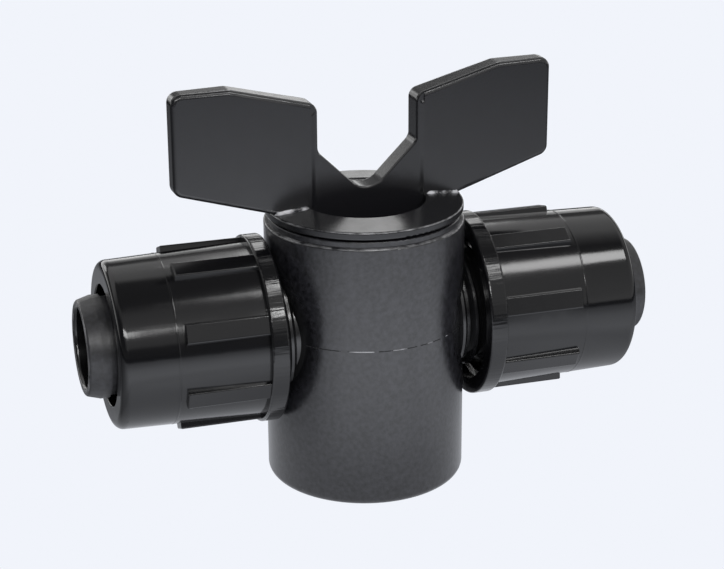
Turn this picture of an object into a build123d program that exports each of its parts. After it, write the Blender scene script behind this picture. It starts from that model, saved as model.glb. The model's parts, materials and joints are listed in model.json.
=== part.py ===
from build123d import *
import os

# In-line plug valve for drip tubing, with a barbed nozzle and a lock nut at each end.
# Millimetres. The origin is the middle of the base, +Z runs up the plug and +X along the flow.

# Valve body
body_radius = 15.0
plug_bore_radius = 11.72
body_height = 40.7
base_wall = 3.0
base_round = 1.2
rim_round = 0.35
rim_lead_in = 0.6
lip_inset = 0.5
lip_height = 0.9
lip_round = 0.15
pipe_depth = 15.8

# Spigots and nozzles, with lengths along the pipe
tip_overhang = 3.7
bore_radius = 5.9
tip_wall = 1.15
tip_round = 0.55
neck_wall = 1.4
barb_rise = 0.35
barb_land = 1.2
barb_setback = 3.3
spigot_radius = 8.5
thread_rise = 2.1
thread_run_in = 5.4
thread_end_gap = 2.0
shoulder_length = 2.4

# Lock nuts
nut_gap = 0.4
nut_length = 24.35
nut_rear_wall = 1.35
nut_front_wall = 3.45
nut_front_round = 1.3
nut_mouth_length = 2.6
nut_mouth_round = 0.2
nut_cone_length = 3.4
nut_skirt_relief = 0.9
nut_skirt_depth = 5.0
nut_thread_clearance = 0.2
tube_room = 1.4
flange_rise = 1.0
flange_width = 2.7
flange_round = 0.35
rib_count = 8
rib_rise = 0.55
rib_length = 12.2
rib_base_width = 3.4
rib_top_width = 2.8
rib_round = 0.25
left_rib_angle = 23.0
right_rib_angle = 16.0

# Plug and its seals
plug_clearance = 0.12
plug_end_gap = 0.6
plug_end_chamfer = 0.8
hollow_wall = 2.5
hollow_round = 0.5
port_margin = 0.6
port_wall = 1.6
seal_section = 1.6
seal_clearance = 0.05
upper_seal_depth = 4.4
lower_seal_drop = 11.8
port_seal_margin = 0.9
port_seal_width = 1.6
port_seal_depth = 1.0
snap_rise = 3.2
snap_height = 2.0
snap_bead = 0.35
snap_clearance = 0.3

# Disc and quarter-turn stop
disc_inset = 0.15
disc_gap = 1.25
disc_edge = 1.2
disc_crown = 0.55
disc_round = 0.3
rim_wall = 1.45
stop_depth = 1.6
stop_clearance = 0.35
stop_travel = 90.0
stop_span = 24.0
stop_angle = 135.0
stop_play = 1.5
open_overrun = 3.4

# Handle wings, with heights above the disc
wing_reach = 29.4
wing_rise = 18.8
wing_apex = 20.8
wing_inner = 7.7
wing_inner_rise = 15.4
wing_toe_rise = 3.9
notch_shoulder_rise = 8.25
notch_vertex_rise = 0.7
notch_round = 3.4
wing_root_thickness = 4.2
wing_end_thickness = 3.0
wing_corner_round = 1.6
wing_edge_round = 0.7
web_recess = 0.25
web_anchor = 0.8

# Radii and places that follow from the sizes above
pipe_height = body_height - pipe_depth
neck_radius = bore_radius + neck_wall
barb_radius = neck_radius + barb_rise
thread_radius = spigot_radius + thread_rise
nut_thread_radius = thread_radius + nut_thread_clearance
nut_skirt_radius = nut_thread_radius + nut_skirt_relief
nut_rear_radius = nut_skirt_radius + nut_rear_wall
nut_mouth_radius = barb_radius + tube_room
nut_front_radius = nut_mouth_radius + nut_front_wall
nut_rear = body_radius + nut_gap
nut_front = nut_rear + nut_length
tip_reach = nut_front + tip_overhang
nut_cone_end = nut_front - nut_mouth_length
nut_cone_start = nut_cone_end - nut_cone_length
flange_front = nut_rear + flange_width
lip_radius = body_radius - lip_inset
plug_radius = plug_bore_radius - plug_clearance
seal_radius = plug_bore_radius - seal_clearance
hollow_radius = plug_radius - hollow_wall
port_radius = bore_radius + port_margin
hollow_floor = pipe_height + port_radius + port_wall
core_roof = pipe_height - port_radius - port_wall
plug_base = base_wall + plug_end_gap
snap_middle = plug_base + snap_rise
upper_seal_height = body_height - upper_seal_depth
lower_seal_height = pipe_height - lower_seal_drop
disc_radius = body_radius - disc_inset
disc_base = body_height + disc_gap
disc_edge_top = disc_base + disc_edge
disc_top = disc_edge_top + disc_crown
stop_floor = body_height - stop_depth
stop_slot_radius = body_radius - rim_wall
pipe_axis = Axis((0, 0, pipe_height), (1, 0, 0))


def profile(*points):
    # A face in the upright plane along the pipe, from (x, z) points.
    return Plane.XZ * make_face(Polyline(*points, close=True))


def turned(*points):
    # A solid turned about the plug axis from (radius, height) points.
    return revolve(profile(*points), Axis.Z)


def turned_on_pipe(*points):
    # A solid turned about the pipe axis from (distance, radius) points.
    return revolve(profile(*[(x, pipe_height + r) for x, r in points]), pipe_axis)


def upright(radius, low, high):
    return turned((0, low), (radius, low), (radius, high), (0, high))


def lengthwise(radius, start, end):
    return turned_on_pipe((start, 0), (start, radius), (end, radius), (end, 0))


def ring_sector(inner, outer, low, high, start, span):
    # Part of a ring about the plug axis, from a start angle over a span in degrees.
    section = profile((inner, low), (outer, low), (outer, high), (inner, high))
    return Rot(0, 0, start) * revolve(section, Axis.Z, revolution_arc=span)


def spigot():
    # Plain root, threaded length at its crest size, shoulder, neck, then one barb behind the lip.
    thread_start = nut_rear + thread_run_in
    thread_end = nut_cone_start - thread_end_gap
    barb_start = tip_reach - barb_setback
    solid = turned_on_pipe(
        (0, 0),
        (0, spigot_radius),
        (thread_start, spigot_radius),
        (thread_start, thread_radius),
        (thread_end, thread_radius),
        (thread_end + shoulder_length, neck_radius),
        (barb_start, neck_radius),
        (barb_start, barb_radius),
        (barb_start + barb_land, barb_radius),
        (tip_reach, bore_radius + tip_wall),
        (tip_reach, 0),
    )
    solid -= lengthwise(bore_radius, 0, tip_reach)
    return fillet(solid.edges().group_by(Axis.X)[-1], tip_round)


def stop_slot():
    # The recess in the rim that the stop lug swings through, from closed to a little past in line.
    span = stop_travel + open_overrun + stop_span + 2 * stop_play
    start = stop_angle - stop_travel - stop_span / 2 - stop_play
    floor = stop_floor - stop_clearance
    return ring_sector(hollow_radius, stop_slot_radius, floor, body_height, start, span)


def lip():
    # The low wall round the mouth of the body, which all but closes the gap under the disc.
    wall = upright(lip_radius, stop_floor, body_height + lip_height)
    wall = fillet(wall.edges().group_by(Axis.Z)[-1], lip_round)
    return wall - upright(stop_slot_radius, stop_floor, body_height + lip_height)


def snap_groove():
    crest = plug_radius + snap_bead + snap_clearance
    half = snap_height / 2 + snap_clearance
    return upright(crest, snap_middle - half, snap_middle + half)


def valve_body():
    barrel = upright(body_radius, 0, body_height)
    barrel = fillet(barrel.edges().group_by(Axis.Z)[0], base_round)
    barrel = fillet(barrel.edges().group_by(Axis.Z)[-1], rim_round)
    solid = barrel + lip() + spigot() + mirror(spigot(), about=Plane.YZ)
    solid -= lengthwise(bore_radius, -body_radius, body_radius)
    solid -= upright(plug_bore_radius, base_wall, body_height)
    solid -= turned(
        (0, body_height),
        (0, body_height - rim_lead_in - plug_bore_radius),
        (plug_bore_radius + rim_lead_in, body_height),
    )
    return solid - snap_groove() - stop_slot()


def seal_groove(height):
    root = seal_radius - seal_section - seal_clearance
    half = seal_section / 2 + seal_clearance
    return turned(
        (root, height - half),
        (body_radius, height - half),
        (body_radius, height + half),
        (root, height + half),
    )


def plug_seal(height):
    # An O-ring in its groove, as it stands against the bore.
    middle = seal_radius - seal_section / 2
    section = Plane.XZ * Pos(middle, height) * Circle(seal_section / 2)
    return revolve(section, Axis.Z)


def port_ring(side, clearance):
    # A saddle ring round a blind side of the plug, or with clearance the groove that it lies in.
    middle = bore_radius + port_seal_margin
    half = port_seal_width / 2 + clearance
    tube = Circle(middle + half) - Circle(middle - half)
    tube = extrude(Plane.XZ * Pos(0, pipe_height) * tube, -side * body_radius)
    inner = seal_radius - port_seal_depth - clearance
    outer = body_radius if clearance else seal_radius
    shell = upright(outer, 0, body_height) - upright(inner, 0, body_height)
    return tube & shell


def snap_ring():
    # The sloped bead round the foot of the plug, which clicks into the body's groove.
    half = snap_height / 2
    return turned(
        (hollow_radius, snap_middle - half),
        (plug_radius, snap_middle - half),
        (plug_radius + snap_bead, snap_middle),
        (plug_radius, snap_middle + half),
        (hollow_radius, snap_middle + half),
    )


def disc():
    # The disc under the wings, whose top rises a little from its edge to the hollow.
    solid = turned(
        (0, disc_base),
        (disc_radius, disc_base),
        (disc_radius, disc_edge_top),
        (hollow_radius, disc_top),
        (0, disc_top),
    )
    rim = solid.edges().filter_by(GeomType.CIRCLE).sort_by(SortBy.RADIUS)[-2:]
    return fillet(rim, disc_round)


def plug():
    # The plug is hollow from the disc down to the flow, and cored out below it.
    barrel = upright(plug_radius, plug_base, disc_base)
    barrel = chamfer(barrel.edges().group_by(Axis.Z)[0], plug_end_chamfer)
    barrel += snap_ring()
    lug_radius = stop_slot_radius - stop_clearance
    lug = ring_sector(hollow_radius, lug_radius, stop_floor, disc_base, stop_angle - stop_span / 2, stop_span)
    solid = barrel + disc() + lug
    solid -= upright(hollow_radius, hollow_floor, disc_top)
    solid = fillet(solid.edges().group_by(Axis.Z)[-1], hollow_round)
    solid -= upright(hollow_radius, plug_base, core_roof)
    solid -= lengthwise(port_radius, -body_radius, body_radius)
    solid -= seal_groove(upper_seal_height) + seal_groove(lower_seal_height)
    for side in (-1, 1):
        solid -= port_ring(side, seal_clearance)
    return solid


def wings():
    # One upright plate: two wings either side of a rounded V, and the web that crosses the hollow.
    foot = disc_radius - disc_round
    bury = disc_base + disc_edge / 2
    web = hollow_radius + web_anchor
    half = [
        (wing_inner, disc_top + notch_shoulder_rise),
        (wing_inner, disc_top + wing_inner_rise),
        (wing_apex, disc_top + wing_rise),
        (wing_reach, disc_top + wing_rise),
        (wing_reach, disc_top + wing_toe_rise),
        (foot, disc_edge_top),
        (foot, bury),
        (web, bury),
        (web, hollow_floor - web_anchor),
    ]
    vertex = (0, disc_top + notch_vertex_rise)
    outline = make_face(Polyline(vertex, *half, *[(-x, z) for x, z in reversed(half)], close=True))
    corners = outline.vertices().filter_by(lambda v: v.Y > disc_top + notch_vertex_rise)
    outline = fillet(corners, wing_corner_round)
    lowest = outline.vertices().filter_by(lambda v: abs(v.X) < wing_edge_round)
    outline = fillet(lowest, notch_round)
    slab = extrude(Plane.XZ * outline, wing_root_thickness / 2, both=True)
    plate = slab & crown()
    edges = plate.faces().sort_by(Axis.Y)[0].edges() + plate.faces().sort_by(Axis.Y)[-1].edges()
    return fillet(edges, wing_edge_round) - web_step()


def web_step():
    # What the round core of the hollow takes off both sides of the plate, leaving the thinner web.
    web = wing_root_thickness - 2 * web_recess
    top = disc_top + wing_rise
    return upright(hollow_radius, hollow_floor, top) - Pos(0, 0, top / 2) * Box(2 * hollow_radius, web, top)


def crown():
    # The wings' thickness in plan: full at the middle, thinner at the ends, with bowed sides.
    end = wing_end_thickness / 2
    middle = wing_root_thickness / 2
    near = ThreePointArc((-wing_reach, -end), (0, -middle), (wing_reach, -end))
    far = ThreePointArc((wing_reach, end), (0, middle), (-wing_reach, end))
    ends = [Line(near @ 1, far @ 0), Line(far @ 1, near @ 0)]
    plan = make_face([near, far, *ends])
    return extrude(plan, disc_top + wing_rise)


def nut_rib():
    # One rib at the top of the nut, drawn on its section and run along the barrel.
    low = nut_front_radius - rib_rise
    top = nut_rear_radius + rib_rise
    section = make_face(Polyline(
        (-rib_base_width / 2, low),
        (rib_base_width / 2, low),
        (rib_top_width / 2, top),
        (-rib_top_width / 2, top),
        close=True,
    ))
    bar = Pos(flange_front - flange_width / 2, 0, 0) * extrude(Plane.YZ * section, rib_length + flange_width / 2)
    outer = bar.faces().sort_by(Axis.Z)[-1]
    return Pos(0, 0, pipe_height) * fillet(outer.edges(), rib_round)


def lock_nut(rib_angle):
    # The nut at the +X end: flange, tapered barrel with ribs, thread room, cone and mouth.
    # The rib angle is how far the first rib stands above the front, a quarter turn from the top.
    barrel = turned_on_pipe(
        (nut_rear, 0),
        (nut_rear, nut_rear_radius),
        (flange_front, nut_rear_radius),
        (nut_front, nut_front_radius),
        (nut_front, 0),
    )
    barrel = fillet(barrel.edges().group_by(Axis.X)[-1], nut_front_round)
    flange = lengthwise(nut_rear_radius + flange_rise, nut_rear, flange_front)
    flange = fillet(flange.edges(), flange_round)
    solid = barrel + flange
    for n in range(rib_count):
        turn = 90 - rib_angle + n * 360 / rib_count
        solid += nut_rib().rotate(pipe_axis, turn)
    solid -= turned_on_pipe(
        (nut_rear, 0),
        (nut_rear, nut_skirt_radius),
        (nut_rear + nut_skirt_depth, nut_skirt_radius),
        (nut_rear + nut_skirt_depth, nut_thread_radius),
        (nut_cone_start, nut_thread_radius),
        (nut_cone_end, nut_mouth_radius),
        (nut_front, nut_mouth_radius),
        (nut_front, 0),
    )
    mouth = solid.edges().filter_by(GeomType.CIRCLE).group_by(Axis.X)[-1].sort_by(SortBy.RADIUS)[0]
    return fillet(mouth, nut_mouth_round)


def parts():
    # The handle rests open against its stop, turned a little past the line of the pipe.
    opened = Rot(0, 0, open_overrun)
    return {
        "valve_body": valve_body(),
        "plug_handle": opened * plug() + opened * wings(),
        "upper_plug_seal": plug_seal(upper_seal_height),
        "lower_plug_seal": plug_seal(lower_seal_height),
        "front_port_seal": opened * port_ring(-1, 0),
        "rear_port_seal": opened * port_ring(1, 0),
        "left_lock_nut": mirror(lock_nut(left_rib_angle), about=Plane.YZ),
        "right_lock_nut": lock_nut(right_rib_angle),
    }


os.makedirs("parts", exist_ok=True)
for name, shape in parts().items():
    export_step(shape, f"parts/{name}.step")
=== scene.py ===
import json
import math

import bmesh
import bpy
import numpy as np
from mathutils import Matrix, Vector


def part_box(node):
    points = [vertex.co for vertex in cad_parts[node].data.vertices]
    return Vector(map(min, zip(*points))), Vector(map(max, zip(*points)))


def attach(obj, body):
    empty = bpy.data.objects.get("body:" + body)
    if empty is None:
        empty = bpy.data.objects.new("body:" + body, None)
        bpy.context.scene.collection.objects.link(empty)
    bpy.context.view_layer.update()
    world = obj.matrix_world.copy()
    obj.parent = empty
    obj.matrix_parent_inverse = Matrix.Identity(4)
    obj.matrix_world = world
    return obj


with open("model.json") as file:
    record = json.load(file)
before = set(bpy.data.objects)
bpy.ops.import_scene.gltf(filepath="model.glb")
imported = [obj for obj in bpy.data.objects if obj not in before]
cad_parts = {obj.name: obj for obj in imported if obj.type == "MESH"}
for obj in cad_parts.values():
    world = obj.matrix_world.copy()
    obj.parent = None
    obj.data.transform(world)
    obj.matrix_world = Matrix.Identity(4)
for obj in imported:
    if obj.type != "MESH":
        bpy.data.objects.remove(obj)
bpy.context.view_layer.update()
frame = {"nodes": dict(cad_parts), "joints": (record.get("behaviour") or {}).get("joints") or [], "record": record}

mm = 0.001
joints = {joint["name"]: joint for joint in frame["joints"]}
pipeHeight = joints["right_nut_turn"]["pos_m"][2] / mm
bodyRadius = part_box("valve_body")[1].y / mm
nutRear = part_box("right_lock_nut")[0].x / mm
openTurn = math.radians(-90 - joints["handle_turn"]["range_deg"][0])    # past the line of the pipe
print("frame loaded:", len(frame["nodes"]), "nodes")


def hexColour(code):
    # sRGB hex to linear light, with alpha 1
    srgb = np.array([int(code[n:n + 2], 16) for n in (1, 3, 5)]) / 255
    linear = np.where(srgb <= 0.04045, srgb / 12.92, ((srgb + 0.055) / 1.055) ** 2.4)
    return (*linear.tolist(), 1.0)


def addNode(tree, kind, settings=None, sockets=None):
    # a socket's value is a number, a colour or the output that feeds it
    node = tree.nodes.new(kind)
    for key, value in (settings or {}).items():
        setattr(node, key, value)
    for socket, value in (sockets or {}).items():
        if isinstance(value, bpy.types.NodeSocket):
            tree.links.new(value, node.inputs[socket])
        else:
            node.inputs[socket].default_value = value
    return node


def newMaterial(name):
    material = bpy.data.materials.new(name)
    material.use_nodes = True
    material.node_tree.nodes.clear()
    return material, material.node_tree


def perMillimetre(size):
    # texture scale that makes one feature this many millimetres wide
    return 1 / (size * mm)


def setStops(ramp, stops):
    # grey stops of a colour ramp, as (position, level)
    elements = ramp.color_ramp.elements
    while len(elements) < len(stops):
        elements.new(0.5)
    for element, (position, level) in zip(elements, stops):
        element.position = position
        element.color = (level, level, level, 1.0)


bodyFinish = {
    "colour": "#28282C",
    "shade": "#0C0C0E",         # in the pits
    "speckle": 0.7,             # mm, the mould's spark pits, drawn about four times as coarse to show
    "speckleRange": (0.30, 0.70),
    "speckleHeight": 0.030,     # mm
    "bump": 0.6,
    "roughness": {"barrel": 0.29, "nozzle": 0.42, "paintedShade": 0.22},
    "ior": 1.62,
    "nozzleFrom": 33.0,         # mm from the middle
    "nozzleFade": 1.0,          # mm
    "paintedShade": "#0B0B0C",     # painted shade in the bore and on the spigots, under the nuts
    "boreTo": 6.3,              # mm from the pipe's axis
    "spigotFade": (8.9, 11.4),  # mm from the pipe's axis, where the painted shade under the nut fades out
    # painted highlight: pale patches along the rim's top edge and the nozzles' tips
    "paintedHighlight": "#848486",
    "highlightPatch": 1.8,           # mm
    "highlightRange": (0.36, 0.72),
    "highlightRim": (40.60, 0.10),   # mm, middle height and half width of the painted highlight along the rim's edge
    "highlightTip": 43.32,           # mm from the middle, where the painted highlight on each nozzle's tip begins
}


def texturedPolypropylene():
    # moulded polypropylene off a spark-eroded mould: dark grey with an even pitted grain and a low sheen,
    # duller on the nozzles, smooth with painted shade, near black, in the bore and on the spigots, and with a
    # painted highlight in pale patches along the rim's edge and the nozzles' tips
    material, tree = newMaterial("polypropylene_spark_textured")
    place = addNode(tree, "ShaderNodeTexCoord").outputs["Object"]
    speckle = addNode(tree, "ShaderNodeTexNoise", {}, {
        "Vector": place, "Scale": perMillimetre(bodyFinish["speckle"]), "Detail": 3.0})
    pits = addNode(tree, "ShaderNodeMapRange", {}, {
        "Value": speckle.outputs["Fac"],
        "From Min": bodyFinish["speckleRange"][0], "From Max": bodyFinish["speckleRange"][1]})
    plain = addNode(tree, "ShaderNodeMix", {"data_type": "RGBA"}, {
        "Factor": pits.outputs["Result"],
        "A": hexColour(bodyFinish["shade"]), "B": hexColour(bodyFinish["colour"])})
    axes = addNode(tree, "ShaderNodeSeparateXYZ", {}, {"Vector": place})
    reach = addNode(tree, "ShaderNodeMath", {"operation": "ABSOLUTE"}, {0: axes.outputs["X"]})
    pipe = addNode(tree, "ShaderNodeVectorMath", {"operation": "MULTIPLY_ADD"}, {
        0: place, 1: (0.0, 1.0, 1.0), 2: (0.0, 0.0, -pipeHeight * mm)})
    around = addNode(tree, "ShaderNodeVectorMath", {"operation": "LENGTH"}, {0: pipe.outputs["Vector"]})
    # painted shade: the bore and the spigots under the nuts are drawn near black
    bore = addNode(tree, "ShaderNodeMath", {"operation": "LESS_THAN"}, {
        0: around.outputs["Value"], 1: bodyFinish["boreTo"] * mm})
    stem = addNode(tree, "ShaderNodeMapRange", {}, {
        "Value": around.outputs["Value"], "To Min": 1.0, "To Max": 0.0,
        "From Min": bodyFinish["spigotFade"][0] * mm, "From Max": bodyFinish["spigotFade"][1] * mm})
    behind = addNode(tree, "ShaderNodeMath", {"operation": "LESS_THAN"}, {
        0: reach.outputs["Value"], 1: bodyFinish["nozzleFrom"] * mm})
    spigot = addNode(tree, "ShaderNodeMath", {"operation": "MULTIPLY"}, {
        0: stem.outputs["Result"], 1: behind.outputs["Value"]})
    paintedShade = addNode(tree, "ShaderNodeMath", {"operation": "MAXIMUM"}, {
        0: bore.outputs["Value"], 1: spigot.outputs["Value"]})
    # painted highlight: pale patches along the rim's top edge and the nozzles' tips
    rim = addNode(tree, "ShaderNodeMath", {"operation": "COMPARE"}, {
        0: axes.outputs["Z"], 1: bodyFinish["highlightRim"][0] * mm, 2: bodyFinish["highlightRim"][1] * mm})
    tip = addNode(tree, "ShaderNodeMath", {"operation": "GREATER_THAN"}, {
        0: reach.outputs["Value"], 1: bodyFinish["highlightTip"] * mm})
    edges = addNode(tree, "ShaderNodeMath", {"operation": "MAXIMUM"}, {
        0: rim.outputs["Value"], 1: tip.outputs["Value"]})
    paintedGlint = addNode(tree, "ShaderNodeTexNoise", {}, {
        "Vector": place, "Scale": perMillimetre(bodyFinish["highlightPatch"]), "Detail": 3.0})
    paintedHighlight = addNode(tree, "ShaderNodeMapRange", {}, {
        "Value": paintedGlint.outputs["Fac"], "To Max": edges.outputs["Value"],
        "From Min": bodyFinish["highlightRange"][0], "From Max": bodyFinish["highlightRange"][1]})
    paintedShadeColour = addNode(tree, "ShaderNodeMix", {"data_type": "RGBA"}, {
        "Factor": paintedShade.outputs["Value"],
        "A": plain.outputs["Result"], "B": hexColour(bodyFinish["paintedShade"])})
    colour = addNode(tree, "ShaderNodeMix", {"data_type": "RGBA"}, {
        "Factor": paintedHighlight.outputs["Result"],
        "A": paintedShadeColour.outputs["Result"], "B": hexColour(bodyFinish["paintedHighlight"])})
    exposed = addNode(tree, "ShaderNodeMapRange", {}, {
        "Value": reach.outputs["Value"],
        "From Min": bodyFinish["nozzleFrom"] * mm,
        "From Max": (bodyFinish["nozzleFrom"] + bodyFinish["nozzleFade"]) * mm,
        "To Min": bodyFinish["roughness"]["barrel"], "To Max": bodyFinish["roughness"]["nozzle"]})
    rough = addNode(tree, "ShaderNodeMix", {}, {
        "Factor": paintedShade.outputs["Value"],
        "A": exposed.outputs["Result"], "B": bodyFinish["roughness"]["paintedShade"]})
    bump = addNode(tree, "ShaderNodeBump", {}, {
        "Height": speckle.outputs["Fac"], "Strength": bodyFinish["bump"],
        "Distance": bodyFinish["speckleHeight"] * mm})
    shader = addNode(tree, "ShaderNodeBsdfPrincipled", {}, {
        "Base Color": colour.outputs["Result"], "Roughness": rough.outputs["Result"],
        "IOR": bodyFinish["ior"], "Normal": bump.outputs["Normal"]})
    addNode(tree, "ShaderNodeOutputMaterial", {}, {"Surface": shader.outputs["BSDF"]})
    return material


handleFinish = {
    "colour": "#18181B",
    "shade": "#131315",
    "mottle": 2.2,              # mm, slow changes of the sheen
    "mottleRange": (0.3, 0.7),
    "grain": 0.26,              # mm, marks of the blasting grit, drawn about twice as coarse to show
    "grainHeight": 0.006,       # mm
    "bump": 0.6,
    "roughness": (0.21, 0.26),
    "ior": 1.55,
    # painted highlight: pale patches along the disc's top edge
    "paintedHighlight": "#88888A",
    "highlightPatch": 2.0,           # mm
    "highlightRange": (0.38, 0.70),
    "highlightEdge": (43.05, 0.08),  # mm, middle height and half width of the painted highlight along the disc's edge
    "highlightFrom": 14.3,           # mm from the plug axis
}


def satinPolypropylene():
    # moulded polypropylene off a blasted mould: near black, satin, with a soft sheen on turned faces and a
    # painted highlight in pale patches along the disc's top edge
    material, tree = newMaterial("polypropylene_satin")
    place = addNode(tree, "ShaderNodeTexCoord").outputs["Object"]
    mottle = addNode(tree, "ShaderNodeTexNoise", {}, {
        "Vector": place, "Scale": perMillimetre(handleFinish["mottle"]), "Detail": 3.0})
    grain = addNode(tree, "ShaderNodeTexNoise", {}, {
        "Vector": place, "Scale": perMillimetre(handleFinish["grain"]), "Detail": 2.0})
    plain = addNode(tree, "ShaderNodeMix", {"data_type": "RGBA"}, {
        "Factor": mottle.outputs["Fac"],
        "A": hexColour(handleFinish["colour"]), "B": hexColour(handleFinish["shade"])})
    axes = addNode(tree, "ShaderNodeSeparateXYZ", {}, {"Vector": place})
    # painted highlight: pale patches along the disc's top edge
    level = addNode(tree, "ShaderNodeMath", {"operation": "COMPARE"}, {
        0: axes.outputs["Z"], 1: handleFinish["highlightEdge"][0] * mm, 2: handleFinish["highlightEdge"][1] * mm})
    flat = addNode(tree, "ShaderNodeVectorMath", {"operation": "MULTIPLY"}, {0: place, 1: (1.0, 1.0, 0.0)})
    far = addNode(tree, "ShaderNodeVectorMath", {"operation": "LENGTH"}, {0: flat.outputs["Vector"]})
    outer = addNode(tree, "ShaderNodeMath", {"operation": "GREATER_THAN"}, {
        0: far.outputs["Value"], 1: handleFinish["highlightFrom"] * mm})
    edge = addNode(tree, "ShaderNodeMath", {"operation": "MULTIPLY"}, {
        0: level.outputs["Value"], 1: outer.outputs["Value"]})
    paintedGlint = addNode(tree, "ShaderNodeTexNoise", {}, {
        "Vector": place, "Scale": perMillimetre(handleFinish["highlightPatch"]), "Detail": 3.0})
    paintedHighlight = addNode(tree, "ShaderNodeMapRange", {}, {
        "Value": paintedGlint.outputs["Fac"], "To Max": edge.outputs["Value"],
        "From Min": handleFinish["highlightRange"][0], "From Max": handleFinish["highlightRange"][1]})
    colour = addNode(tree, "ShaderNodeMix", {"data_type": "RGBA"}, {
        "Factor": paintedHighlight.outputs["Result"],
        "A": plain.outputs["Result"], "B": hexColour(handleFinish["paintedHighlight"])})
    rough = addNode(tree, "ShaderNodeMapRange", {}, {
        "Value": mottle.outputs["Fac"],
        "From Min": handleFinish["mottleRange"][0], "From Max": handleFinish["mottleRange"][1],
        "To Min": handleFinish["roughness"][0], "To Max": handleFinish["roughness"][1]})
    bump = addNode(tree, "ShaderNodeBump", {}, {
        "Height": grain.outputs["Fac"], "Strength": handleFinish["bump"],
        "Distance": handleFinish["grainHeight"] * mm})
    shader = addNode(tree, "ShaderNodeBsdfPrincipled", {}, {
        "Base Color": colour.outputs["Result"], "Roughness": rough.outputs["Result"],
        "IOR": handleFinish["ior"], "Normal": bump.outputs["Normal"]})
    addNode(tree, "ShaderNodeOutputMaterial", {}, {"Surface": shader.outputs["BSDF"]})
    return material


nutFinish = {
    "colour": "#0C0C0E",
    "cutterPitch": 0.16,        # mm between the mould's turning lines, drawn about twice as coarse to show
    "cutterRun": 3.0,           # mm, how far a line runs round the nut
    "lineHeight": 0.0035,       # mm
    "wave": 3.5,                # mm, slow waves where the thick wall sank in the mould
    "waveHeight": 0.026,        # mm
    "drawPitch": 0.45,          # mm between the marks that the mould drew along the flange
    "drawRun": 5.4,             # mm, how far a mark runs
    "drawHeight": 0.035,        # mm
    "bump": 0.6,
    "flangeTo": 18.1,           # mm from the middle, the front of the flange
    "flangeFade": 0.2,          # mm
    "polishFrom": 31.3,         # mm from the middle, where the polished front of the mould begins
    "polishFade": 0.1,          # mm
    "roughness": {"ribbed": 0.15, "front": 0.11},
    "ior": 1.48,
}


def glossyAcetal():
    # moulded acetal: black and glossy, with slow waves, fine turning lines, a polished front and drawn marks
    # across the flange
    material, tree = newMaterial("acetal_glossy_black")
    place = addNode(tree, "ShaderNodeTexCoord").outputs["Object"]
    cutterScale = [perMillimetre(nutFinish[size]) for size in ("cutterPitch", "cutterRun", "cutterRun")]
    stretched = addNode(tree, "ShaderNodeMapping", {}, {"Vector": place, "Scale": cutterScale})
    lines = addNode(tree, "ShaderNodeTexNoise", {}, {
        "Vector": stretched.outputs["Vector"], "Scale": 1.0, "Detail": 2.0})
    drawScale = [perMillimetre(nutFinish[size]) for size in ("drawRun", "drawPitch", "drawPitch")]
    drawn = addNode(tree, "ShaderNodeMapping", {}, {"Vector": place, "Scale": drawScale})
    marks = addNode(tree, "ShaderNodeTexNoise", {}, {
        "Vector": drawn.outputs["Vector"], "Scale": 1.0, "Detail": 1.0})
    waves = addNode(tree, "ShaderNodeTexNoise", {}, {
        "Vector": place, "Scale": perMillimetre(nutFinish["wave"]), "Detail": 1.0})
    axes = addNode(tree, "ShaderNodeSeparateXYZ", {}, {"Vector": place})
    reach = addNode(tree, "ShaderNodeMath", {"operation": "ABSOLUTE"}, {0: axes.outputs["X"]})
    polish = addNode(tree, "ShaderNodeMapRange", {}, {
        "Value": reach.outputs["Value"],
        "From Min": (nutFinish["polishFrom"] - nutFinish["polishFade"]) * mm,
        "From Max": nutFinish["polishFrom"] * mm})
    flange = addNode(tree, "ShaderNodeMapRange", {}, {
        "Value": reach.outputs["Value"],
        "From Min": nutFinish["flangeTo"] * mm,
        "From Max": (nutFinish["flangeTo"] + nutFinish["flangeFade"]) * mm,
        "To Min": 1.0, "To Max": 0.0})
    rough = addNode(tree, "ShaderNodeMapRange", {}, {
        "Value": polish.outputs["Result"],
        "To Min": nutFinish["roughness"]["ribbed"], "To Max": nutFinish["roughness"]["front"]})
    slow = addNode(tree, "ShaderNodeBump", {}, {
        "Height": waves.outputs["Fac"], "Strength": nutFinish["bump"],
        "Distance": nutFinish["waveHeight"] * mm})
    rimmed = addNode(tree, "ShaderNodeBump", {}, {
        "Height": marks.outputs["Fac"], "Strength": flange.outputs["Result"],
        "Distance": nutFinish["drawHeight"] * mm, "Normal": slow.outputs["Normal"]})
    bump = addNode(tree, "ShaderNodeBump", {}, {
        "Height": lines.outputs["Fac"], "Strength": nutFinish["bump"],
        "Distance": nutFinish["lineHeight"] * mm, "Normal": rimmed.outputs["Normal"]})
    shader = addNode(tree, "ShaderNodeBsdfPrincipled", {}, {
        "Base Color": hexColour(nutFinish["colour"]), "Roughness": rough.outputs["Result"],
        "IOR": nutFinish["ior"], "Normal": bump.outputs["Normal"]})
    addNode(tree, "ShaderNodeOutputMaterial", {}, {"Surface": shader.outputs["BSDF"]})
    return material


# the seam: near black as painted shade, with pale dashes of painted glint
flashFinish = {
    "colour": "#060607",
    "paintedGlint": "#9C9C9F",
    "patch": 2.6,               # mm
    "shift": (2.6, 0, 0),       # mm, slides the pattern of dashes
    "dashes": (0.60, 0.68),     # where a dash starts and is full
    "roughness": 0.8,
}
# the round at each wing's foot: pale dashes of painted glint
footFinish = {
    "colour": "#202023",
    "paintedGlint": "#B8B8BC",
    "patch": 1.2,               # mm
    "shift": (0, 0, 0),
    "dashes": (0.36, 0.62),
    "roughness": 0.18,
}


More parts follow.
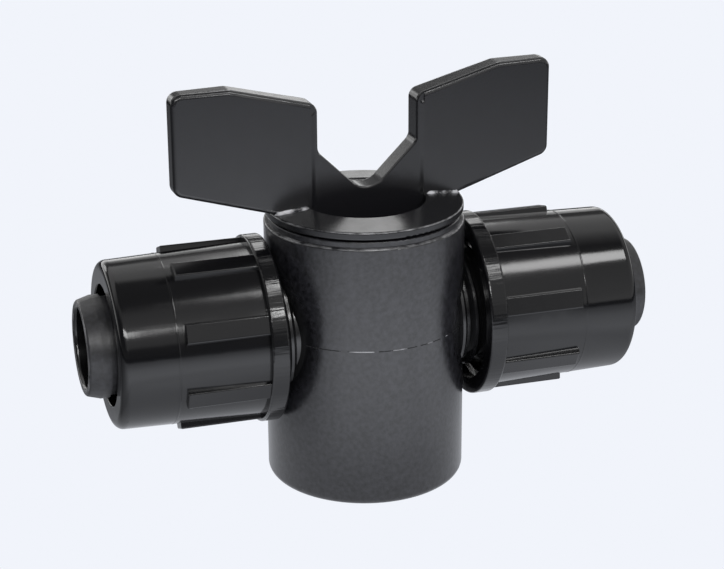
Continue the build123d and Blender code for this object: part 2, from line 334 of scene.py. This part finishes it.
def paintedGlintPolypropylene(name, finish):
    # for the seam's flash and the round at each wing's foot: dark, with short pale dashes of painted glint; on the
    # seam the dark is painted shade
    material, tree = newMaterial(name)
    place = addNode(tree, "ShaderNodeTexCoord").outputs["Object"]
    slid = addNode(tree, "ShaderNodeMapping", {}, {
        "Vector": place, "Location": [length * mm for length in finish["shift"]]})
    patches = addNode(tree, "ShaderNodeTexNoise", {}, {
        "Vector": slid.outputs["Vector"], "Scale": perMillimetre(finish["patch"]), "Detail": 2.0})
    dashes = addNode(tree, "ShaderNodeMapRange", {}, {
        "Value": patches.outputs["Fac"],
        "From Min": finish["dashes"][0], "From Max": finish["dashes"][1]})
    colour = addNode(tree, "ShaderNodeMix", {"data_type": "RGBA"}, {
        "Factor": dashes.outputs["Result"],
        "A": hexColour(finish["colour"]), "B": hexColour(finish["paintedGlint"])})
    shader = addNode(tree, "ShaderNodeBsdfPrincipled", {}, {
        "Base Color": colour.outputs["Result"], "Roughness": finish["roughness"]})
    addNode(tree, "ShaderNodeOutputMaterial", {}, {"Surface": shader.outputs["BSDF"]})
    return material


sealFinish = {
    "colour": "#151515",
    "grain": 0.4,               # mm
    "grainHeight": 0.01,        # mm
    "bump": 0.3,
    "roughness": 0.55,
}


def nitrileRubber():
    # moulded nitrile: dull black with a faint bloom
    material, tree = newMaterial("nitrile_rubber")
    place = addNode(tree, "ShaderNodeTexCoord").outputs["Object"]
    grain = addNode(tree, "ShaderNodeTexNoise", {}, {
        "Vector": place, "Scale": perMillimetre(sealFinish["grain"])})
    bump = addNode(tree, "ShaderNodeBump", {}, {
        "Height": grain.outputs["Fac"], "Strength": sealFinish["bump"],
        "Distance": sealFinish["grainHeight"] * mm})
    shader = addNode(tree, "ShaderNodeBsdfPrincipled", {}, {
        "Base Color": hexColour(sealFinish["colour"]), "Roughness": sealFinish["roughness"],
        "Normal": bump.outputs["Normal"]})
    addNode(tree, "ShaderNodeOutputMaterial", {}, {"Surface": shader.outputs["BSDF"]})
    return material


finishes = {
    "body_plastic": texturedPolypropylene(),
    "handle_plastic": satinPolypropylene(),
    "nut_plastic": glossyAcetal(),
    "seal_rubber": nitrileRubber(),
}
for subpart in frame["record"]["subparts"]:
    node = frame["nodes"][subpart["node"]]
    node.material_slots[0].material = finishes[subpart["material_slot"]]
print("finishes on the solids")


sharpAngle = 35         # degrees, edges that turn further stay crisp


def addPiece(name, shells, body, slot, finish=None):
    # Each shell is an array of sections in mm, sections by points by 3, and whether the last section meets
    # the first: neighbouring sections are joined point to point, and an open run gets a face at each end.
    points, faces, start = [], [], 0
    for sections, closed in shells:
        count, size = sections.shape[:2]
        index = start + np.arange(count * size).reshape(count, size)
        near, far = (index, np.roll(index, -1, axis=0)) if closed else (index[:-1], index[1:])
        quads = np.stack([near, np.roll(near, -1, axis=1), np.roll(far, -1, axis=1), far], axis=-1)
        faces += quads.reshape(-1, 4).tolist()
        faces += [] if closed else [index[0].tolist(), index[-1].tolist()]
        points.append(sections.reshape(-1, 3) * mm)
        start += count * size
    mesh = bpy.data.meshes.new(name)
    mesh.from_pydata(np.concatenate(points).tolist(), [], faces)
    shape = bmesh.new()
    shape.from_mesh(mesh)
    bmesh.ops.recalc_face_normals(shape, faces=shape.faces)
    shape.to_mesh(mesh)
    shape.free()
    mesh.shade_smooth()
    mesh.set_sharp_from_angle(angle=math.radians(sharpAngle))
    mesh.materials.append(finish or finishes[slot])
    piece = bpy.data.objects.new(name, mesh)
    bpy.context.scene.collection.objects.link(piece)
    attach(piece, body)


def onWings(ahead, across, up):
    # The same shell on both faces of both wings, from mm ahead along the handle, across it and up, turned
    # with the handle to where it rests.
    cos, sin = math.cos(openTurn), math.sin(openTurn)
    shells = []
    for side in (-1, 1):
        for face in (-1, 1):
            x, y, z = np.broadcast_arrays(side * ahead, face * across, up)
            shells.append((np.stack([x * cos - y * sin, x * sin + y * cos, z], axis=-1), False))
    return shells


def aroundPipe(along, radius, angle):
    # points at so many mm along the pipe, at a radius and an angle about its axis
    x, out, turn = np.broadcast_arrays(along, radius, angle)
    return np.stack([x, out * np.cos(turn), pipeHeight + out * np.sin(turn)], axis=-1)


wingFoot = {
    # the small round where each wing's face runs down into the disc, in mm
    "round": 0.42,
    "reach": (9.3, 14.6),       # from the plug axis
    "discTop": (9.1, 43.7),     # radius and height at the hollow
    "discEdge": (14.85, 43.15), # radius and height at the rim
    "wingHalf": (2.1, 1.5),     # half thickness at the axis and at the tip
    "wingReach": 29.4,
    "sunk": 0.15,               # how far the strip's back lies inside the plastic
    "endShare": 0.08,           # share of the length over which each end shrinks
    "endSize": 0.15,            # share of the round that is left at the very end
    "waver": 0.12,              # share by which the round swells and shrinks along the foot
    "waverTurns": (23, 41),     # radians that its two waves go through along the foot
    "stations": 48,
    "arcPoints": 9,
}


def wingFootRounds():
    # A hollow quarter round carried along the foot of a wing: at each station the arc leaves the wing's face
    # one radius above the disc and lands on the disc one radius out; its back corner lies in the plastic.
    foot = wingFoot
    along = np.linspace(0, 1, foot["stations"])[:, None]
    ahead = foot["reach"][0] + (foot["reach"][1] - foot["reach"][0]) * along
    root, tip = foot["wingHalf"]
    half = root - (root - tip) * (ahead / foot["wingReach"]) ** 2
    fade = np.clip(np.minimum(along, 1 - along) / foot["endShare"], foot["endSize"], 1)
    slow, quick = foot["waverTurns"]
    swell = 1 + foot["waver"] * np.sin(slow * along) * np.sin(quick * along + 1)
    radius = foot["round"] * fade * swell
    arc = np.radians(np.linspace(0, 90, foot["arcPoints"]))[None, :]
    out = half + radius * (1 - np.cos(arc))
    (topRadius, topHeight), (edgeRadius, edgeHeight) = foot["discTop"], foot["discEdge"]
    fall = (topHeight - edgeHeight) / (edgeRadius - topRadius)
    disc = topHeight - fall * (np.hypot(ahead, out) - topRadius)
    up = disc + radius * (1 - np.sin(arc))
    sunk = foot["sunk"]
    out = np.concatenate([out, out[:, -1:], half - sunk, half - sunk], axis=1)
    up = np.concatenate([up, disc[:, -1:] - sunk, disc[:, :1] - sunk, up[:, :1]], axis=1)
    # the rounds are drawn with pale dashes of painted glint
    addPiece("wing_foot_rounds", onWings(ahead, out, up), "handle", "handle_plastic",
             paintedGlintPolypropylene("polypropylene_foot_painted_glint", footFinish))


webStep = {
    # the soft ramp that carries the thinner web out to each wing's face, in mm
    "run": 0.8,
    "height": 0.195,
    "fade": 0.35,               # length over which it sinks away at the top
    "at": 9.1,                  # the step, from the plug axis
    "webHalf": 1.85,
    "rise": (43.9, 58.1),
    "sunk": 0.1,
    "stations": 82,
    "points": 13,
}


def webStepRamps():
    # A ramp carried straight up the step: it leaves the web's face one run before the step's wall and swells
    # to the wing's face as 3s^2 - 2s^3, level at both ends, and sinks away at the top; its back corners lie
    # in the plastic.
    up = np.linspace(*webStep["rise"], webStep["stations"])[:, None]
    wall = math.sqrt(webStep["at"] ** 2 - webStep["webHalf"] ** 2)
    share = np.linspace(0, 1, webStep["points"])
    sunk = webStep["sunk"]
    ahead = np.concatenate([wall - webStep["run"] * (1 - share), [wall + sunk, wall - webStep["run"]]])
    fade = np.clip((webStep["rise"][1] - up) / webStep["fade"], 0, 1)
    swell = webStep["height"] * fade * share ** 2 * (3 - 2 * share)
    across = webStep["webHalf"] + np.concatenate([swell, np.full((len(up), 2), -sunk)], axis=1)
    addPiece("web_step_ramps", onWings(ahead, across, up), "handle", "handle_plastic")


nutThread = {
    # the start of the thread inside the nut's skirt, in mm
    "pitch": 2.0,
    "reach": (0.9, 4.5),        # from the nut's rear
    "wall": 11.7,
    "crest": 10.95,
    "baseWidth": 1.3,
    "crestWidth": 0.45,
    "sunk": 0.1,
}
spigotThread = {
    # the end of the spigot's thread, where it runs out on the plain root
    "pitch": 2.0,
    "reach": (-3.6, 4.6),
    "wall": 8.5,
    "crest": 9.4,
    "baseWidth": 1.7,
    "crestWidth": 0.40,
    "sunk": 0.1,
}
threadRun = {
    "endShare": 0.08,           # share of the run over which the crest rises and sinks back
    "endSunk": 0.02,            # mm, how far the ends then lie in the wall
    "stations": 320,
}


def threadRidge(cut):
    # A ridge carried along a right-hand helix about the pipe, at the +X end: its crest rises from the wall
    # and sinks back at both ends.
    turns = (cut["reach"][1] - cut["reach"][0]) / cut["pitch"]
    run = np.linspace(0, 1, threadRun["stations"])[:, None]
    fade = np.clip(np.minimum(run, 1 - run) / threadRun["endShare"], 0, 1)
    middle = nutRear + cut["reach"][0] + cut["pitch"] * turns * run
    shift = np.array([[-cut["baseWidth"], -cut["crestWidth"], cut["crestWidth"], cut["baseWidth"]]]) / 2
    way = math.copysign(1, cut["crest"] - cut["wall"])
    low = np.full_like(fade, cut["wall"] - way * cut["sunk"])
    high = cut["wall"] + (cut["crest"] - cut["wall"]) * fade - way * threadRun["endSunk"]
    radius = np.concatenate([low, high, high, low], axis=1)
    return aroundPipe(middle + shift, radius, 2 * math.pi * turns * run)


def threads():
    # the left end's are the right end's turned half round the plug axis
    for side, turned in (("right", (1, 1, 1)), ("left", (-1, -1, 1))):
        ridge = threadRidge(nutThread) * np.array(turned)
        addPiece(side + "_nut_thread", [(ridge, False)], side + "_nut", "nut_plastic")
        ridge = threadRidge(spigotThread) * np.array(turned)
        addPiece(side + "_spigot_thread", [(ridge, False)], "housing", "body_plastic")


witness = {
    # the fine line left where the two rings of the nut's mould met, in mm
    "at": 31.3,
    "barrel": ((18.1, 13.05), (39.75, 12.5)),   # place and radius at both ends of the nut's taper
    "width": 0.30,
    "height": 0.035,
    "sunk": 0.06,
    "stations": 160,
    "points": 9,
}


def witnessLines():
    # A low half-round bead turned about the pipe: its section is a half ellipse with its back in the barrel.
    (start, rear), (end, front) = witness["barrel"]
    base = rear + (front - rear) * (witness["at"] - start) / (end - start)
    bend = np.radians(np.linspace(0, 180, witness["points"]))
    along = witness["at"] + witness["width"] / 2 * np.cos(bend)
    along = np.concatenate([along, along[[-1, 0]]])[None, :]
    radius = base + witness["height"] * np.sin(bend)
    radius = np.concatenate([radius, [base - witness["sunk"]] * 2])[None, :]
    angle = np.linspace(0, 2 * math.pi, witness["stations"], endpoint=False)[:, None]
    for side, way in (("right", 1), ("left", -1)):
        bead = aroundPipe(way * along, radius, angle)
        addPiece(side + "_nut_witness_line", [(bead, True)], side + "_nut", "nut_plastic")


seam = {
    # the body's parting line, level with the pipe, in mm
    "halfSpan": 54.0,           # degrees either side of the front and of the back
    "width": 0.16,
    "height": 0.035,
    "sunk": 0.06,
    "flash": (0.45, 0.30, 0.25),    # shares of the height: what stays, the long waves and the short ones
    "waves": (17, 41),          # radians that the long and the short waves go through for each radian round
    "stations": 220,
    "points": 7,
}


def partingSeam():
    # A bead round the barrel at the pipe's height, front and back: a half ellipse whose height comes and goes
    # along the line, as flash does.
    angle = np.radians(np.linspace(-seam["halfSpan"], seam["halfSpan"], seam["stations"]))[:, None]
    bend = np.radians(np.linspace(0, 180, seam["points"]))[None, :]
    stays, slowShare, quickShare = seam["flash"]
    slow, quick = seam["waves"]
    flash = stays + slowShare * np.sin(slow * angle + 1) + quickShare * np.sin(quick * angle)
    out = bodyRadius + seam["height"] * flash * np.sin(bend)
    up = pipeHeight + seam["width"] / 2 * np.cos(bend) + 0 * angle
    inner = np.full_like(angle, bodyRadius - seam["sunk"])
    out = np.concatenate([out, inner, inner], axis=1)
    up = np.concatenate([up, up[:, -1:], up[:, :1]], axis=1)
    front = np.stack([out * np.sin(angle), -out * np.cos(angle), up], axis=-1)
    back = front * np.array((-1, -1, 1))
    # drawn in painted shade with dashes of painted glint
    addPiece("body_parting_seam", [(front, False), (back, False)], "housing", "body_plastic",
             paintedGlintPolypropylene("polypropylene_seam_painted_shade_and_glint", flashFinish))


wingFootRounds()
webStepRamps()
threads()
witnessLines()
partingSeam()
print("fine mouldings added")


stageFinish = {
    "colour": "#F1F4FB",
    "side": 3.0,                    # m
    "lit": 0.40,                    # m, the distance that the stops are shares of
    # stops of brightness close under the object
    "near": ((0.0, 0.9), (0.06, 0.9), (0.09, 0.72), (0.12, 0.28), (0.14, 0.0)),
    # and further out, as shares of the bounce
    "far": ((0.06, 0.0), (0.09, 0.25), (0.12, 0.65), (0.17, 0.97),
            (0.25, 0.84), (0.38, 0.55), (0.60, 0.39), (0.78, 0.03)),
    "bounce": 2.1,
    "bright": (0.0, -1.0, 0.0),     # the way to the side of the floor that is lit most
    "brightEdge": (-0.1, 0.6),      # cosines of the heading where that side starts and is full
    "away": 0.20,                   # share of the bounce on the far side
    "left": 0.60,                   # share that is left towards -X
    "leftEdge": (-0.95, -0.6),
    "right": 0.84,                  # share that is left towards +X
    "rightEdge": (0.30, 0.60),
    "patch": (0.05, 0.99, 0.0),     # the way to a second lit patch, behind the object
    "patchEdge": (0.93, 0.98),
    "patchShare": 0.65,
}


def paleFloor():
    # a lit white sweep, even to the eye; as a source it is dimmer close under the object, behind it, to the
    # sides and far off
    side = stageFinish["side"]
    corners = [(-side, -side, 0), (side, -side, 0), (side, side, 0), (-side, side, 0)]
    mesh = bpy.data.meshes.new("floor")
    mesh.from_pydata(corners, [], [(0, 1, 2, 3)])
    floor = bpy.data.objects.new("floor", mesh)
    bpy.context.scene.collection.objects.link(floor)
    material, tree = newMaterial("floor_white")
    place = addNode(tree, "ShaderNodeTexCoord").outputs["Object"]
    far = addNode(tree, "ShaderNodeVectorMath", {"operation": "LENGTH"}, {0: place})
    share = addNode(tree, "ShaderNodeMath", {"operation": "DIVIDE"}, {
        0: far.outputs["Value"], 1: stageFinish["lit"]})
    near = addNode(tree, "ShaderNodeValToRGB", {}, {"Fac": share.outputs["Value"]})
    setStops(near, stageFinish["near"])
    ramp = addNode(tree, "ShaderNodeValToRGB", {}, {"Fac": share.outputs["Value"]})
    setStops(ramp, stageFinish["far"])
    heading = addNode(tree, "ShaderNodeVectorMath", {"operation": "NORMALIZE"}, {0: place})
    towards = addNode(tree, "ShaderNodeVectorMath", {"operation": "DOT_PRODUCT"}, {
        0: heading.outputs["Vector"], 1: stageFinish["bright"]})
    nearness = addNode(tree, "ShaderNodeMapRange", {}, {
        "Value": towards.outputs["Value"],
        "From Min": stageFinish["brightEdge"][0], "From Max": stageFinish["brightEdge"][1],
        "To Min": stageFinish["bounce"] * stageFinish["away"], "To Max": stageFinish["bounce"]})
    behind = addNode(tree, "ShaderNodeVectorMath", {"operation": "DOT_PRODUCT"}, {
        0: heading.outputs["Vector"], 1: stageFinish["patch"]})
    patch = addNode(tree, "ShaderNodeMapRange", {}, {
        "Value": behind.outputs["Value"],
        "From Min": stageFinish["patchEdge"][0], "From Max": stageFinish["patchEdge"][1],
        "To Max": stageFinish["bounce"] * stageFinish["patchShare"]})
    lit = addNode(tree, "ShaderNodeMath", {"operation": "MAXIMUM"}, {
        0: nearness.outputs["Result"], 1: patch.outputs["Result"]})
    axes = addNode(tree, "ShaderNodeSeparateXYZ", {}, {"Vector": heading.outputs["Vector"]})
    leftward = addNode(tree, "ShaderNodeMapRange", {}, {
        "Value": axes.outputs["X"], "To Min": stageFinish["left"],
        "From Min": stageFinish["leftEdge"][0], "From Max": stageFinish["leftEdge"][1]})
    rightward = addNode(tree, "ShaderNodeMapRange", {}, {
        "Value": axes.outputs["X"], "To Min": 1.0, "To Max": stageFinish["right"],
        "From Min": stageFinish["rightEdge"][0], "From Max": stageFinish["rightEdge"][1]})
    sides = addNode(tree, "ShaderNodeMath", {"operation": "MULTIPLY"}, {
        0: leftward.outputs["Result"], 1: rightward.outputs["Result"]})
    evenness = addNode(tree, "ShaderNodeMath", {"operation": "MULTIPLY"}, {
        0: lit.outputs["Value"], 1: sides.outputs["Value"]})
    bounce = addNode(tree, "ShaderNodeMath", {"operation": "MULTIPLY_ADD"}, {
        0: ramp.outputs["Color"], 1: evenness.outputs["Value"], 2: near.outputs["Color"]})
    ray = addNode(tree, "ShaderNodeLightPath")
    level = addNode(tree, "ShaderNodeMix", {}, {
        "Factor": ray.outputs["Is Camera Ray"], "A": bounce.outputs["Value"], "B": 1.0})
    glow = addNode(tree, "ShaderNodeEmission", {}, {
        "Color": hexColour(stageFinish["colour"]), "Strength": level.outputs["Result"]})
    addNode(tree, "ShaderNodeOutputMaterial", {}, {"Surface": glow.outputs["Emission"]})
    mesh.materials.append(material)


roomLight = {
    # levels: degrees above the horizon, then brightness
    # corner: the axis of the heading, then where along it the wall starts and is full
    "front": {
        "levels": ((0, 0.10), (11, 0.14), (15, 0.55), (40, 0.70), (58, 0.50), (67, 0.14))},
    "right": {
        "corner": ("X", 0.22, 0.45),
        "levels": ((0, 0.90), (12, 0.70), (38, 0.55), (54, 0.40), (61, 0.12))},
    "left": {
        "corner": ("X", -0.20, -0.50),
        "levels": ((0, 0.20), (12, 0.08), (38, 0.10), (45, 0.35), (58, 0.45), (67, 0.14))},
    "rear": {
        "corner": ("Y", -0.1, 0.3),
        "levels": ((0, 2.0), (7, 1.5), (10, 1.1), (14, 0.45), (17, 0.15),
                   (28, 0.15), (32, 0.90), (64, 0.95), (71, 0.16))},
}


def room():
    # dim studio walls, each with its own levels, laid over the front one in turn; the view itself has the
    # floor's colour
    world = bpy.data.worlds.new("studio")
    bpy.context.scene.world = world
    world.use_nodes = True
    tree = world.node_tree
    tree.nodes.clear()
    place = addNode(tree, "ShaderNodeTexCoord").outputs["Generated"]
    axes = addNode(tree, "ShaderNodeSeparateXYZ", {}, {"Vector": place})
    for wall in roomLight.values():
        ramp = addNode(tree, "ShaderNodeValToRGB", {}, {"Fac": axes.outputs["Z"]})
        setStops(ramp, [(math.sin(math.radians(angle)), level) for angle, level in wall["levels"]])
        if "corner" not in wall:
            around = ramp.outputs["Color"]
            continue
        axis, start, full = wall["corner"]
        share = addNode(tree, "ShaderNodeMapRange", {}, {
            "Value": axes.outputs[axis], "From Min": start, "From Max": full})
        mixed = addNode(tree, "ShaderNodeMix", {"data_type": "RGBA"}, {
            "Factor": share.outputs["Result"], "A": around, "B": ramp.outputs["Color"]})
        around = mixed.outputs["Result"]
    light = addNode(tree, "ShaderNodeBackground", {}, {"Color": around})
    view = addNode(tree, "ShaderNodeBackground", {}, {"Color": hexColour(stageFinish["colour"])})
    ray = addNode(tree, "ShaderNodeLightPath")
    mix = addNode(tree, "ShaderNodeMixShader", {}, {
        "Fac": ray.outputs["Is Camera Ray"], 1: light.outputs["Background"], 2: view.outputs["Background"]})
    addNode(tree, "ShaderNodeOutputWorld", {}, {"Surface": mix.outputs["Shader"]})


softboxes = {
    # compass in degrees from the front round to the right, height in degrees, distance, width and tall in m,
    # brightness
    "rearLamp": (160, 39.5, 0.9, 0.17, 0.30, 3.3),
    "leftLamp": (203, 17, 0.9, 0.22, 0.16, 2.4),
    "keyLamp": (46.5, 52.5, 0.7, 0.16, 0.12, 10.5),
    "cameraLamp": (-17.5, 33, 0.7, 0.465, 0.10, 11.0),
    "cameraLampEdge": (7.5, 36, 0.7, 0.045, 0.10, 0.9),
    "topLamp": (25.5, 63, 0.7, 0.06, 0.10, 8.0),
    "flangeLamp": (27.5, 47, 0.7, 0.045, 0.06, 11.0),
    # small and close, so that they glint on the left flange and little else
    "leftGlint": (19, 67.5, 0.129, 0.007, 0.016, 20.0),
    "leftGlintLow": (8.7, 35, 0.130, 0.008, 0.014, 38.0),
}


def softbox(name, compass, height, distance, width, tall, brightness):
    # an even lamp that faces the middle of the pipe and stays out of the view
    lamp = bpy.data.lights.new(name, "AREA")
    lamp.shape = "RECTANGLE"
    lamp.size = width
    lamp.size_y = tall
    lamp.energy = brightness * math.pi * width * tall   # an even lamp's radiance times pi times its area
    turn, lift = math.radians(compass), math.radians(height)
    back = Vector((math.sin(turn) * math.cos(lift), -math.cos(turn) * math.cos(lift), math.sin(lift)))
    box = bpy.data.objects.new(name, lamp)
    box.location = back * distance + Vector((0, 0, pipeHeight * mm))
    box.rotation_mode = "QUATERNION"
    box.rotation_quaternion = back.to_track_quat("Z", "Y")
    box.visible_camera = False
    bpy.context.scene.collection.objects.link(box)


paleFloor()
room()
for name, sizes in softboxes.items():
    softbox(name, *sizes)
print("stage and lights set")


photoView = {
    "compass": 17.22,           # degrees left of the front
    "height": 20.90,            # degrees
    "roll": -0.32,              # degrees
    "distance": 308.78,         # mm
    "aim": (-0.33, 29.71),      # mm to the right of the plug axis, and up
    "lens": 101.71,             # mm
    "sensor": 36.0,             # mm
    "clipStart": 10.0,          # mm
}


def photoCamera():
    # looks along the fitted direction at the aim, turned about it by the roll
    turn, lift, roll = (math.radians(photoView[angle]) for angle in ("compass", "height", "roll"))
    ahead = Vector((math.sin(turn) * math.cos(lift), math.cos(turn) * math.cos(lift), -math.sin(lift)))
    right = Vector((math.cos(turn), -math.sin(turn), 0))
    up = right.cross(ahead)
    aim = right * photoView["aim"][0] + Vector((0, 0, photoView["aim"][1]))
    sideways = right * math.cos(roll) + up * math.sin(roll)
    upright = up * math.cos(roll) - right * math.sin(roll)
    data = bpy.data.cameras.new("photoCamera")
    data.lens = photoView["lens"]
    data.sensor_width = photoView["sensor"]
    data.clip_start = photoView["clipStart"] * mm
    camera = bpy.data.objects.new("photoCamera", data)
    turned = Matrix((sideways, upright, -ahead)).transposed().to_4x4()
    camera.matrix_world = Matrix.Translation((aim - ahead * photoView["distance"]) * mm) @ turned
    bpy.context.scene.collection.objects.link(camera)
    bpy.context.scene.camera = camera


photoCamera()
bpy.context.scene.view_settings.view_transform = "Standard"
print("camera set")
